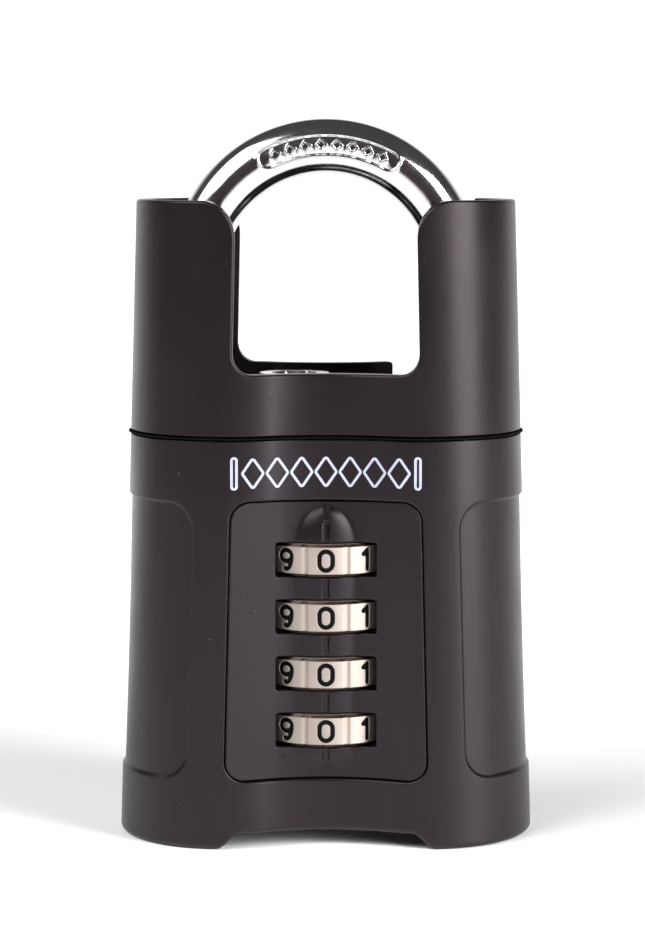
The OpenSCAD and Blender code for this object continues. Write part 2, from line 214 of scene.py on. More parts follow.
class Surface:
    """A surface given by place(u, v, depth), with relief standing out of it."""

    def __init__(self, place, relief=None):
        self.place = place
        self.relief = relief or (lambda u, v: np.zeros_like(u))

    def at(self, uv, depth=0.0, follow=1.0):
        u, v = uv[:, 0], uv[:, 1]
        return self.place(u, v, depth - follow * self.relief(u, v))

    def axes(self, uv):
        """Unit directions along u, along v and out of the surface."""
        e = 0.01
        du, dv = np.array([[e, 0]]), np.array([[0, e]])
        along_u = unit(self.at(uv + du) - self.at(uv - du))
        along_v = unit(self.at(uv + dv) - self.at(uv - dv))
        out = unit(np.cross(along_u, along_v))
        sense = ((self.at(uv, -0.05) - self.at(uv)) * out).sum(1, keepdims=True)
        return along_u, along_v, np.where(sense < 0, -out, out)


NEARBY = [np.array([x, y, z]) for x in (-0.2, 0.2) for y in (-0.2, 0.2) for z in (-0.2, 0.2)]


class Build:
    """Collects faces with their own corner normals and joins what meets."""

    def __init__(self):
        self.index, self.points, self.faces, self.normals, self.slots = {}, [], [], [], []

    def vertex(self, p):
        """The number of the vertex at p, which is shared by points less than a micrometre apart."""
        cell = p * 1e3
        for shift in NEARBY:
            key = tuple(np.round(cell + shift))
            if key in self.index:
                return self.index[key]
        self.index[tuple(np.round(cell))] = len(self.points)
        self.points.append(p)
        return len(self.points) - 1

    def add(self, points, normals, faces, slot=0):
        ids = [self.vertex(p) for p in points]
        for face in faces:
            corners = [(ids[i], i) for i in face]
            corners = [c for k, c in enumerate(corners) if c[0] != corners[k - 1][0]]
            if len({c[0] for c in corners}) < 3:
                continue
            a, b, c = (points[corners[k][1]] for k in range(3))
            lean = np.cross(b - a, c - a) @ sum(normals[i] for _, i in corners)
            if lean < 0:
                corners.reverse()
            self.faces.append([v for v, _ in corners])
            self.normals += [normals[i] for _, i in corners]
            self.slots.append(slot)

    def strip(self, rings, normals, closed=True, slot=0):
        """Quads between rings that have the same number of points."""
        n = len(rings[0])
        last = n if closed else n - 1
        for a in range(len(rings) - 1):
            quads = [(i, (i + 1) % n, n + (i + 1) % n, n + i) for i in range(last)]
            self.add(np.vstack(rings[a:a + 2]), np.vstack(normals[a:a + 2]), quads, slot)

    def sheet(self, surface, loops, extra=(), creases=(), depth=0.0, follow=1.0, sense=1, slot=0,
              pinned=None):
        """Fills the area within the loops, in even-odd fashion, with triangles on the surface.
        pinned gives the loops' points in space where they have to meet another part exactly."""
        points, edges = [], []
        for loop in list(loops) + list(creases):
            first = len(points)
            points += list(loop)
            edges += [(first + i, first + (i + 1) % len(loop)) for i in range(len(loop))]
        pinned_count = sum(len(loop) for loop in loops)
        extra = np.array(extra, float).reshape(-1, 2)
        points += list(extra[inside(extra, loops)]) if len(extra) else []
        flat, lines, triangles, source, line_source, _ = delaunay_2d_cdt(
            [Vector(p) for p in points], edges, [], 0, 1e-7)
        uv = np.array([tuple(p) for p in flat])
        triangles = np.array(triangles)
        # A line that the loops run along twice, there and back, is no wall.
        walls = {tuple(sorted(line)) for line, own in zip(lines, line_source)
                 if sum(k < pinned_count for k in own) % 2}
        keep = within(triangles, walls)
        space = surface.at(uv, depth, follow)
        if pinned is not None:
            for i, names in enumerate(source):
                own = [k for k in names if k < pinned_count]
                if own:
                    space[i] = pinned[own[0]]
        self.add(space, sense * surface.axes(uv)[2], triangles[keep].tolist(), slot)

    def rim(self, surface, loop, profile, closed=True, slot=0, toward=None):
        """Sweeps an edge profile along a line on the surface, with the material on its left.
        Each profile row is: distance into the material, depth, how far it follows the relief,
        and the normal's parts away from the material and out of the surface."""
        way = inward(loop, closed) if toward is None else np.tile(toward, (len(loop), 1))
        along_u, along_v, out = surface.axes(loop)
        away = -unit(way[:, :1] * along_u + way[:, 1:] * along_v)
        rings, normals = [], []
        for o, d, follow, side, up in profile:
            rings.append(surface.at(loop + way * o, d, follow))
            normals.append(unit(side * away + up * out))
        self.strip(rings, normals, closed, slot)
        return rings

    def piece(self, name, materials, body, replaced=(), slot=None):
        mesh = bpy.data.meshes.new(name)
        mesh.from_pydata([tuple(p * MM) for p in self.points], [], self.faces)
        for material in materials:
            mesh.materials.append(material)
        mesh.polygons.foreach_set("material_index", self.slots)
        mesh.polygons.foreach_set("use_smooth", [True] * len(self.faces))
        mesh.normals_split_custom_set([tuple(n) for n in self.normals])
        mesh.update()
        piece = bpy.data.objects.new(name, mesh)
        bpy.context.scene.collection.objects.link(piece)
        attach(piece, body)
        if replaced:
            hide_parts(*replaced)
        return piece


def edge_profile(r, back, steps=5):
    """An edge rounded by r in front and square at the back."""
    turns = np.linspace(0, math.pi / 2, steps + 1)
    rows = [(r * (1 - math.sin(t)), r * (1 - math.cos(t)), 1, math.sin(t), math.cos(t)) for t in turns]
    return rows + [(0, back, 0, 1, 0)]


def grid(u0, u1, v0, v1, du, dv):
    """Staggered points that fill a rectangle."""
    rows = []
    for k, v in enumerate(np.arange(v0 + dv / 2, v1, dv)):
        us = np.arange(u0 + (0.25 if k % 2 else 0.75) * du, u1, du)
        rows.append(np.stack([us, np.full(len(us), v)], 1))
    return np.vstack(rows)


def away_from(points, loops, gap):
    """The points that are further than gap from every point of the loops."""
    marks = np.vstack(loops)
    near = np.array([np.hypot(*(marks - p).T).min() for p in points])
    return points[near > gap]


# ---------------------------------------------------------------- the casing's waisted surface

def taper(low, high, z):
    return low + (high - low) * z / EAR_TOP


def outline(z):
    """The outline's radii and angles at height z: two ends joined by concave arcs."""
    r = taper(END_FOOT, END_EAR, z)
    c = taper(HALF_FOOT, HALF_EAR, z) - r
    t = r - WAIST_DIP
    waist = (c * c + t * t - r * r) / (2 * (r - t))
    turn = np.arctan2(t + waist, -c)
    return r, c, t, waist, turn, turn - math.pi / 2


REF_R, REF_C, _, REF_WAIST, REF_TURN, REF_LEAN = outline(45.0)
WAIST_LEN, END_LEN = REF_WAIST * REF_LEAN, 2 * REF_R * REF_TURN
HALF_ROUND = 2 * WAIST_LEN + END_LEN
SIDE_S = HALF_ROUND / 2


def casing_point(s, z, depth):
    """s runs round the casing from the middle of the front, positive to the right."""
    r, c, t, waist, turn, lean = outline(z)
    run, side = np.abs(s), np.sign(s)
    front = run < WAIST_LEN
    rear = run > WAIST_LEN + END_LEN
    bow = np.where(rear, HALF_ROUND - run, run) / WAIST_LEN * lean
    back = np.where(rear, 1.0, -1.0)
    wx = (waist + depth) * np.sin(bow)
    wy = back * (t + waist - (waist + depth) * np.cos(bow))
    beta = -turn + (run - WAIST_LEN) / END_LEN * 2 * turn
    ex, ey = c + (r - depth) * np.cos(beta), (r - depth) * np.sin(beta)
    on_waist = front | rear
    x = np.where(on_waist, wx, ex) * side
    return np.stack([x, np.where(on_waist, wy, ey), z + 0 * x], 1)


def front_s(x, z):
    """The value of s where the casing's front is at x."""
    x, z = np.broadcast_arrays(np.asarray(x, float), np.asarray(z, float))
    r, c, t, waist, turn, lean = outline(z)
    run = np.abs(x)
    on_waist = run < waist * np.sin(lean)
    bow = np.arcsin(np.clip(run / waist, -1, 1)) / lean * WAIST_LEN
    beta = -np.arccos(np.clip((run - c) / r, -1, 1))
    end = WAIST_LEN + (beta + turn) / (2 * turn) * END_LEN
    return np.sign(x) * np.where(on_waist, bow, end)


def rear_s(x, z):
    s = front_s(x, z)
    return np.where(s < 0, -1.0, 1.0) * (HALF_ROUND - np.abs(s))


def front_line(points):
    """A line drawn in x and z as seen from the front, carried to s and z."""
    points = np.asarray(points, float)
    return np.stack([front_s(points[:, 0], points[:, 1]), points[:, 1]], 1)


def round_line(z, step=0.9):
    """A level line right round the casing."""
    n = math.ceil(2 * HALF_ROUND / step / 4) * 4
    s = np.linspace(-HALF_ROUND, HALF_ROUND, n + 1)
    return np.stack([s, np.full(n + 1, float(z))], 1)


def arch(x):
    return ARCH_H * smooth((ARCH_FOOT - np.abs(x)) / (ARCH_FOOT - ARCH_FLAT))


def plate_loop(grow):
    corners = [
        (-PLATE_FOOT_W - grow, PLATE_Z0 - grow), (PLATE_FOOT_W + grow, PLATE_Z0 - grow),
        (PLATE_TOP_W + grow, PLATE_Z1 + grow), (-PLATE_TOP_W - grow, PLATE_Z1 + grow),
    ]
    return counterclockwise(front_line(resample(rounded(corners, [PLATE_R + grow] * 4, 10), 0.7)))


def circle_loop(x, y, r, n=48):
    return arc(x, y, r, 0, 2 * math.pi, n + 1)[:-1]


def level(z_of, sense=1):
    """A surface drawn in x and y whose height is z_of(x, y)."""
    return Surface(lambda u, v, depth: np.stack([u, v, z_of(u, v) - sense * depth], 1))


RECESS_S = SIDE_S - float(front_s(RECESS_X, 27.0))


def recess_distance(s, z):
    side = np.abs(s) - SIDE_S
    return box_distance(side, z, -RECESS_S, RECESS_S, RECESS_Z0, RECESS_Z1, RECESS_R)


def recess_relief(s, z):
    hollow = 0.1 * np.sin(np.clip((z - RECESS_Z0) / (RECESS_Z1 - RECESS_Z0), 0, 1) * math.pi)
    return -(RECESS_DEPTH + hollow) * smooth(recess_distance(s, z) / RECESS_EDGE)


def make_casing(material):
    b = Build()
    skin = Surface(casing_point, recess_relief)
    edge_r, top_r = 0.3, 0.18
    hole = plate_loop(0.08)[::-1]
    foot = round_line(0, 0.6)
    foot[:, 1] = arch(casing_point(foot[:, 0], foot[:, 1], FOOT_ROUND)[:, 0])
    top = round_line(CASE_TOP, 0.6)
    outer_foot = foot + [0, FOOT_ROUND]
    outer_top = top - [0, top_r]
    boundary = np.vstack([outer_foot, outer_top[::-1]])
    creases = []
    for side in (-1, 1):
        for k in np.linspace(0, RECESS_EDGE, 7):
            loop = box_loop(-RECESS_S + k, RECESS_S - k, RECESS_Z0 + k, RECESS_Z1 - k, RECESS_R - k)
            creases.append(resample(loop, 0.8) + [side * SIDE_S, 0])
    rows = grid(-HALF_ROUND, HALF_ROUND, 0.5, CASE_TOP, 0.9, 1.5)
    rows = away_from(rows, [hole, foot, top] + creases[::6], 0.45)
    rim_in = hole + inward(hole) * edge_r
    b.sheet(skin, [boundary, rim_in], rows, creases)
    b.rim(skin, hole, edge_profile(edge_r, CASE_WALL))
    turned = edge_profile(FOOT_ROUND, FOOT_ROUND, 8)[:-1]
    foot_ring = b.rim(skin, foot, turned, closed=False, toward=(0, 1))[-1][:-1]
    b.rim(skin, top, edge_profile(top_r, CASE_WALL), closed=False, toward=(0, -1))
    inner = np.vstack([round_line(CASE_FLOOR, 0.6), top[::-1]])
    b.sheet(skin, [inner, hole], grid(-HALF_ROUND, HALF_ROUND, CASE_FLOOR, CASE_TOP, 3, 4),
            depth=CASE_WALL, follow=0, sense=-1)
    floor_ring = skin.at(round_line(CASE_FLOOR, 0.6), CASE_WALL, 0)[:-1]
    b.sheet(level(lambda x, y: 0 * x + CASE_FLOOR), [floor_ring[:, :2]], pinned=floor_ring)
    bores = [circle_loop(x, y, SCREW_HEAD_R) for x, y in SCREWS]
    under = level(lambda x, y: arch(x), -1)
    slope = np.arange(ARCH_FLAT - 0.4, ARCH_FOOT + 0.4, 0.2)
    rows = [(side * x, y) for side in (-1, 1) for x in slope for y in np.arange(-13, 13.1, 0.8)]
    rows = away_from(np.array(rows), [foot_ring[:, :2]] + bores, 0.3)
    pins = np.vstack([foot_ring] + [under.at(loop) for loop in bores])
    b.sheet(under, [foot_ring[:, :2]] + bores, rows, pinned=pins)
    for loop in bores:
        ceiling = np.column_stack([loop, np.full(len(loop), SCREW_HEAD_TOP)])
        centre = ceiling.mean(0)
        wall = unit(centre - ceiling)
        b.strip([under.at(loop), ceiling], [wall, wall])
        down = np.tile([0, 0, -1.0], (len(loop), 1))
        b.strip([ceiling, np.tile(centre, (len(loop), 1))], [down, down])
    return b.piece("casing", [material], "body", ["body_case"], "casing_paint")


def plate_relief(s, z):
    """Height of the face plate's profile over the casing's: sunk in the middle, with flat wings."""
    base = casing_point(s, z, 0 * z)
    out = base - casing_point(s, z, 0 * z + 1)
    _, _, t, waist, _, _ = outline(z)
    sunk = waist + PLATE_RECESS
    run, lean = np.abs(base[:, 0]), out[:, 0] * np.sign(base[:, 0])
    wing_x, slope = sunk * math.sin(WING_TURN), math.tan(WING_TURN)
    wing_y = -(t + waist - sunk * math.cos(WING_TURN))
    to_wing = (wing_y - slope * (run - wing_x) - base[:, 1]) / (out[:, 1] + slope * lean)
    return np.where(run < wing_x, -PLATE_RECESS, to_wing)


def rib_relief(s, z):
    """The face plate's relief with the domed dial rib and its index groove."""
    plate = plate_relief(s, z)
    shell = casing_point(s, z, -plate)
    x, fore = shell[:, 0], -shell[:, 1]
    dome = np.sqrt(np.clip(1 - np.clip((z - RIB_DOME) / (RIB_TOP - RIB_DOME), 0, 1) ** 2, 0.0004, 1))
    foot = smooth((z - RIB_FOOT) / 2.2)
    across = np.minimum(np.abs(x) / dome, 6)
    level_fore = fore + (across ** 2 - x ** 2) / (2 * outline(z)[3])
    crown = -SPINDLE_Y + np.sqrt((DIAL_R - 0.7) ** 2 - across ** 2) - level_fore
    rise = 0.5 * (crown + np.sqrt(crown ** 2 + RIB_SOFT ** 2)) * foot * dome
    rise = np.where(np.abs(x) < 5.5, rise, 0)
    inset = box_distance(x, z, -GROOVE_HALF, GROOVE_HALF, GROOVE_FOOT, GROOVE_TOP, GROOVE_HALF)
    groove = GROOVE_DEPTH * smooth(inset / 0.35) * smooth((z - GROOVE_FOOT) / 2.5)
    return plate + rise - groove


def make_face_plate(material):
    b = Build()
    skin = Surface(casing_point, rib_relief)
    edge_r, window_r = 0.18, 0.2
    outer = plate_loop(-0.06)
    windows = []
    for z in DIALS.values():
        window = box_loop(-WINDOW_W, WINDOW_W, z - WINDOW_HALF, z + WINDOW_HALF, 0.35, 5)
        windows.append(counterclockwise(front_line(resample(window, 0.35)))[::-1])
    edge = outer + inward(outer) * edge_r
    mouths = [w + inward(w) * window_r for w in windows]
    rows = grid(-15, 15, PLATE_Z0, PLATE_Z1, 0.55, 0.55)
    strip = [(x, z) for x in np.linspace(-0.7, 0.7, 15) for z in np.arange(GROOVE_FOOT, GROOVE_TOP + 1, 0.4)]
    strip = front_line(strip)
    on_dome = (np.abs(rows[:, 0]) < DOME_HALF) & (rows[:, 1] > RIB_DOME)
    rows = rows[(np.abs(rows[:, 0]) > 0.8) & ~on_dome]
    dome = grid(-DOME_HALF, DOME_HALF, RIB_DOME, PLATE_Z1, 0.2, 0.2)
    dome = dome[np.abs(dome[:, 0]) > 0.8]
    rows = away_from(np.vstack([rows, dome, strip]), [edge] + mouths, 0.12)
    b.sheet(skin, [edge] + mouths, rows)
    b.rim(skin, outer, edge_profile(edge_r, CASE_WALL))
    for window in windows:
        b.rim(skin, window, edge_profile(window_r, CASE_WALL))
    b.sheet(skin, [outer] + windows, grid(-15, 15, PLATE_Z0, PLATE_Z1, 2, 2),
            depth=CASE_WALL, follow=0, sense=-1)
    return b.piece("dial_plate", [material], "body", ["face_plate"], "casing_paint")


def shroud_edge():
    """The shroud's upper edge right round, from the middle of the rear by the left ear."""
    top = EAR_TOP

    def at(place, x, z):
        return float(place(x, z)), z

    start, end = (-HALF_ROUND, OPENING_Z), (HALF_ROUND, OPENING_Z)
    corners = [
        (start, 0),
        (at(rear_s, -OPENING_FOOT_W, OPENING_Z), OPENING_FOOT_R),
        (at(rear_s, -OPENING_TOP_W, top), OPENING_TOP_R),
        (at(front_s, -OPENING_TOP_W, top), OPENING_TOP_R),
        (at(front_s, -OPENING_FOOT_W, OPENING_Z), OPENING_FOOT_R),
        (at(front_s, OPENING_FOOT_W, OPENING_Z), OPENING_FOOT_R),
        (at(front_s, OPENING_TOP_W, top), OPENING_TOP_R),
        (at(rear_s, SLOT_X1, top), 0.8),
        (at(rear_s, SLOT_X1, FLOOR_Z), 0),
        (at(rear_s, SLOT_X0, FLOOR_Z), 0),
        (at(rear_s, SLOT_X0, OPENING_Z), 0.5),
        (end, 0),
    ]
    line = rounded([c for c, _ in corners], [r for _, r in corners], 12, closed=False)
    return resample(line, 0.7, closed=False)


def make_shroud(material):
    b = Build()
    skin = Surface(casing_point)
    edge_r, foot_r = 0.4, 0.2
    edge = shroud_edge()[::-1]
    foot = round_line(SHROUD_Z, 0.7)
    lip = edge + inward(edge, closed=False) * edge_r
    lip[[0, -1], 0] = edge[[0, -1], 0]
    boundary = np.vstack([foot + [0, foot_r], lip])
    rows = away_from(grid(-HALF_ROUND, HALF_ROUND, SHROUD_Z, EAR_TOP, 0.9, 1.5), [lip, foot], 0.5)
    b.sheet(skin, [boundary], rows)
    b.rim(skin, edge, edge_profile(edge_r, SHROUD_WALL), closed=False)
    foot_rings = b.rim(skin, foot, edge_profile(foot_r, foot_r)[:-1], closed=False, toward=(0, 1))
    slot = edge[np.abs(edge[:, 1] - FLOOR_Z) < 1e-6][::-1]
    low = round_line(FLOOR_Z, 0.7)
    low = np.vstack([low[low[:, 0] < slot[0, 0] - 1e-3], slot, low[low[:, 0] > slot[-1, 0] + 1e-3]])
    b.sheet(skin, [np.vstack([low, edge])], grid(-HALF_ROUND, HALF_ROUND, FLOOR_Z, EAR_TOP, 1.2, 2),
            depth=SHROUD_WALL, follow=0, sense=-1)
    floor_ring = skin.at(low, SHROUD_WALL, 0)[:-1]
    bores = [circle_loop(-LEG_X, 0, BUSH_R), circle_loop(LEG_X, 0, BUSH_R), circle_loop(RESET_X, 0, SPIGOT_R)]
    for ring, z, sense in ((floor_ring, FLOOR_Z, 1), (foot_rings[-1][:-1], SHROUD_Z, -1)):
        plane = level(lambda x, y, z=z: 0 * x + z, sense)
        pins = np.vstack([ring] + [plane.at(loop) for loop in bores])
        b.sheet(plane, [ring[:, :2]] + bores, pinned=pins)
    for loop in bores:
        ends = [np.column_stack([loop, np.full(len(loop), z)]) for z in (SHROUD_Z, FLOOR_Z)]
        wall = np.column_stack([unit(loop.mean(0) - loop), np.zeros(len(loop))])
        b.strip(ends, [wall, wall])
    return b.piece("shackle_guard", [material], "body", ["shroud"], "casing_paint")


def make_gasket(material):
    b = Build()
    skin = Surface(casing_point)
    line = round_line((CASE_TOP + SHROUD_Z) / 2, 0.7)
    half, proud, r, back = 0.09, -0.3, 0.04, 3.0
    turns = np.linspace(0, math.pi / 2, 4)
    upper = [(half - r + r * math.sin(t), proud + r - r * math.cos(t), 0, math.sin(t), math.cos(t)) for t in turns]
    upper.append((half, back, 0, 1, 0))
    profile = [(-o, d, f, -n, up) for o, d, f, n, up in upper[::-1]] + upper
    rings, normals = [], []
    _, along_v, out = skin.axes(line)
    for o, d, f, n, up in profile + profile[:1]:
        rings.append(skin.at(line + [0, o], d, f))
        normals.append(unit(n * along_v + up * out))
    inner = [-out, -out]
    b.strip(rings[:-1], normals[:-1], closed=False)
    b.strip([rings[-2], rings[0]], inner, closed=False)
    return b.piece("seam_plate", [material], "body", ["seam_gasket"], "gasket")


# ---------------------------------------------------------------- shackle

LEG_HEEL = ARCH_Z - HEEL_Z
ARCH_LEN = math.pi * LEG_X
SHACKLE_LEN = LEG_HEEL + ARCH_LEN + ARCH_Z - TOE_Z
CROWN_A = LEG_HEEL + ARCH_LEN / 2
BAR_ROUND = math.pi * BAR_R
POCKET_A, POCKET_V = CROWN_A + 0.4, 0.27
POCKET_HALF, POCKET_TALL, POCKET_DEPTH, POCKET_EDGE = 9.5, 1.4, 0.32, 0.24
PIP_PITCH, PIP_COUNT, PIP_HALF_W, PIP_HALF_H = 2.04, 8, 0.92, 1.05
PIP_SLANT = PIP_HALF_W * PIP_HALF_H / math.hypot(PIP_HALF_W, PIP_HALF_H)
PIP_STROKE, PIP_EDGE = 0.36, 0.12


def shackle_point(a, v, depth):
    """a runs along the bar from the heel end, v round it from the front, positive outwards."""
    turn = np.clip((a - LEG_HEEL) / LEG_X, 0, math.pi)
    below = np.minimum(a - LEG_HEEL, 0) - np.maximum(a - LEG_HEEL - ARCH_LEN, 0)
    out_x, out_z = -np.cos(turn), np.sin(turn)
    r = BAR_R - depth
    out = LEG_X + r * np.sin(v / BAR_R)
    return np.stack([out * out_x, -r * np.cos(v / BAR_R), ARCH_Z + below + out * out_z], 1)


def pip_distance(a, v):
    """Distance inside the edge of the nearest lozenge of the pocket's plain pattern."""
    half = (PIP_COUNT - 1) / 2
    step = np.clip(np.round((a - POCKET_A) / PIP_PITCH + half) - half, -half, half)
    across = np.abs(a - POCKET_A - step * PIP_PITCH) / PIP_HALF_W
    return (1 - across - np.abs(v - POCKET_V) / PIP_HALF_H) * PIP_SLANT


def pip_loop(centre, inset):
    share = 1 - inset / PIP_SLANT
    corners = [(PIP_HALF_W, 0), (0, PIP_HALF_H), (-PIP_HALF_W, 0), (0, -PIP_HALF_H)]
    return resample(np.array(corners) * share + [centre, POCKET_V], 0.25)


def shackle_relief(a, v):
    pocket = box_distance(a, v - POCKET_V, POCKET_A - POCKET_HALF, POCKET_A + POCKET_HALF,
                          -POCKET_TALL, POCKET_TALL, POCKET_TALL)
    sunk = -POCKET_DEPTH * smooth(pocket / POCKET_EDGE)
    lip = 0.05 * np.exp(-((pocket + 0.12) / 0.12) ** 2)
    inset = pip_distance(a, v)
    raised = 0.24 * (smooth(inset / PIP_EDGE) - smooth((inset - PIP_STROKE + PIP_EDGE) / PIP_EDGE))
    groove_a = HEEL_GROOVE_Z - HEEL_Z
    groove = smooth((HEEL_GROOVE_H / 2 - np.abs(a - groove_a)) / 0.12 + 0.5)
    return sunk + lip + raised - HEEL_GROOVE_DEPTH * groove


def make_shackle(material):
    b = Build()
    skin = Surface(shackle_point, shackle_relief)
    lead = 0.8
    v = np.linspace(-BAR_ROUND, BAR_ROUND, 65)
    heel, toe = (np.stack([0 * v + a, v], 1) for a in (0.0, SHACKLE_LEN))
    ends = [heel + [lead, 0], (toe - [lead, 0])[::-1]]
    creases = []
    for k in np.linspace(-0.3, POCKET_EDGE, 8):
        loop = box_loop(POCKET_A - POCKET_HALF + k, POCKET_A + POCKET_HALF - k,
                        POCKET_V - POCKET_TALL + k, POCKET_V + POCKET_TALL - k, POCKET_TALL - k, 12)
        creases.append(resample(loop, 0.4))
    for i in range(PIP_COUNT):
        centre = POCKET_A + (i - (PIP_COUNT - 1) / 2) * PIP_PITCH
        for k in (0, PIP_EDGE / 2, PIP_EDGE, PIP_STROKE - PIP_EDGE, PIP_STROKE - PIP_EDGE / 2, PIP_STROKE):
            creases.append(pip_loop(centre, k))
    rows = away_from(grid(lead, SHACKLE_LEN - lead, -BAR_ROUND, BAR_ROUND, 0.8, 0.62),
                     creases + ends, 0.16)
    groove_a = HEEL_GROOVE_Z - HEEL_Z
    walls = [groove_a + side * (HEEL_GROOVE_H / 2 + k) for side in (-1, 1) for k in np.linspace(-0.1, 0.1, 6)]
    rows = np.vstack([rows] + [np.stack([0 * v + a, v * 0.999], 1) for a in walls])
    sides = [resample(np.array([[lead, w], [SHACKLE_LEN - lead, w]]), 0.8, closed=False)
             for w in (-BAR_ROUND, BAR_ROUND)]
    boundary = np.vstack([sides[0], ends[1][::-1][1:-1], sides[1][::-1], ends[0][::-1][1:-1]])
    b.sheet(skin, [boundary], rows, creases)
    profile = edge_profile(lead, BAR_R, 6)
    b.rim(skin, heel, profile[:-1], closed=False, toward=(1, 0))
    b.rim(skin, toe, profile[:-1], closed=False, toward=(-1, 0))
    for line, way in ((heel, -1.0), (toe, -1.0)):
        end = skin.at(line, lead)
        centre = np.tile(skin.at(line, BAR_R).mean(0), (len(end), 1))
        down = np.tile([0, 0, way], (len(end), 1))
        b.strip([end, centre], [down, down], closed=False)
    return b.piece("shackle_bar", [material], "shackle", ["shackle"], "chrome")


# ---------------------------------------------------------------- dials

SECTOR = math.radians(18)
FACE_HALF = DIAL_H / 2 - DIAL_CHAMFER
FLUTE_W, FLUTE_DEPTH = 0.6, 0.18
DIGIT_H, DIGIT_W, DIGIT_STROKE, DIGIT_DEPTH = 2.48, 1.72, 0.58, 0.16
DIGIT_NOTCH, DIGIT_CELL = 0.13, 0.05


def dial_point(u, v, depth):
    """u runs round a dial from its front, positive to the right, v up from its middle."""
    turn = u / DIAL_R
    r = DIAL_R - depth
    return np.stack([r * np.sin(turn), SPINDLE_Y - r * np.cos(turn), v + 0 * u], 1)


def flute_relief(u, v):
    width = 2 * SECTOR * DIAL_R
    off = np.abs(np.mod(u, width) - width / 2)
    return -FLUTE_DEPTH * (1 - smooth(off / FLUTE_W))


def digit_strokes(digit):
    """The middle lines of a digit's strokes, in millimetres about its centre."""
    w, h = DIGIT_W / 2, DIGIT_H / 2
    deg = math.radians

    def bow(y, rx, ry, start, end):
        turn = np.linspace(deg(start), deg(end), 33)
        return np.stack([rx * np.cos(turn), y + ry * np.sin(turn)], 1)

    bowl = 0.85 * w
    nine = [bow(h - bowl, w, bowl, 0, 360), bow(h - bowl, w, 2 * h - bowl, 0, -106)]
    return {
        0: [box_loop(-w, w, -h, h, w, 16), [(-w, 0.1), (-w, -0.1)]],
        1: [[(-0.45 * w, 0.6 * h), (0.3 * w, h), (0.3 * w, -h)]],
        2: [np.vstack([bow(h - w, w, w, 165, -35), [(-w, -h), (w, -h)]])],
        3: [bow(0.5 * h, 0.9 * w, 0.5 * h, 150, -90), bow(-0.5 * h, w, 0.5 * h, 90, -150)],
        4: [[(-0.7 * w, h), (-w, -0.35 * h), (w, -0.35 * h)], [(0.45 * w, 0.4 * h), (0.45 * w, -h)]],
        5: [[(0.85 * w, h), (-0.75 * w, h), (-0.85 * w, 0.1 * h)], bow(-h + w, w, w, 130, -135)],
        6: [-line for line in nine],
        7: [[(-w, h), (w, h), (-0.25 * w, -h)]],
        8: [bow(0.5 * h, 0.85 * w, 0.5 * h, 0, 360), bow(-0.5 * h, w, 0.5 * h, 0, 360)],
        9: nine,
    }[digit]


def stroke_distance(points, strokes):
    """Distance of each point from the nearest stroke."""
    nearest = np.full(len(points), np.inf)
    for line in strokes:
        line = np.asarray(line, float)
        for a, b in zip(line[:-1], line[1:]):
            along = b - a
            share = np.clip((points - a) @ along / max(along @ along, 1e-9), 0, 1)
            nearest = np.minimum(nearest, np.hypot(*(points - a - share[:, None] * along).T))
    return nearest


def contour(field, us, vs):
    """Closed lines where a field on a grid is zero, each with the positive side on its left."""
    follow, place = {}, {}
    for i in range(len(us) - 1):
        for j in range(len(vs) - 1):
            ring = [(i, j), (i + 1, j), (i + 1, j + 1), (i, j + 1)]
            entries, exits = [], []
            for a, b in zip(ring, ring[1:] + ring[:1]):
                if (field[a] > 0) == (field[b] > 0):
                    continue
                share = field[a] / (field[a] - field[b])
                at_a, at_b = (np.array([us[n[0]], vs[n[1]]]) for n in (a, b))
                key = (min(a, b), max(a, b))
                place[key] = at_a + (at_b - at_a) * share
                (exits if field[a] > 0 else entries).append(key)
            follow.update(zip(exits, entries))
    loops = []
    while follow:
        start = key = next(iter(follow))
        loop = []
        while key in follow:
            loop.append(place[key])
            key = follow.pop(key)
        loops.append(np.array(loop))
    return loops


def even_steps(loop, step):
    """The closed line with its points spread evenly."""
    ring = np.vstack([loop, loop[:1]])
    run = np.concatenate([[0], np.cumsum(np.hypot(*np.diff(ring, axis=0).T))])
    at = np.linspace(0, run[-1], max(8, round(run[-1] / step)) + 1)[:-1]
    return np.stack([np.interp(at, run, ring[:, 0]), np.interp(at, run, ring[:, 1])], 1)


def digit_loops(digit):
    """Outlines of a digit, outer ones counterclockwise and holes clockwise. The strokes are
    swollen and shrunk again, which rounds the notches between them."""
    painted_front_shade = DIGIT_STROKE / 2 + DIGIT_NOTCH + 3 * DIGIT_CELL
    us = np.arange(-DIGIT_W / 2 - painted_front_shade, DIGIT_W / 2 + painted_front_shade, DIGIT_CELL)
    vs = np.arange(-DIGIT_H / 2 - painted_front_shade, DIGIT_H / 2 + painted_front_shade, DIGIT_CELL)
    cells = np.stack(np.meshgrid(us, vs, indexing="ij"), -1).reshape(-1, 2)
    shape = (len(us), len(vs))
    swollen = DIGIT_STROKE / 2 + DIGIT_NOTCH - stroke_distance(cells, digit_strokes(digit))
    rims = contour(swollen.reshape(shape), us, vs)
    depth = stroke_distance(cells, [np.vstack([rim, rim[:1]]) for rim in rims])
    field = np.where(inside(cells, rims), depth, -depth) - DIGIT_NOTCH
    return [even_steps(loop, 0.16) for loop in contour(field.reshape(shape), us, vs)]


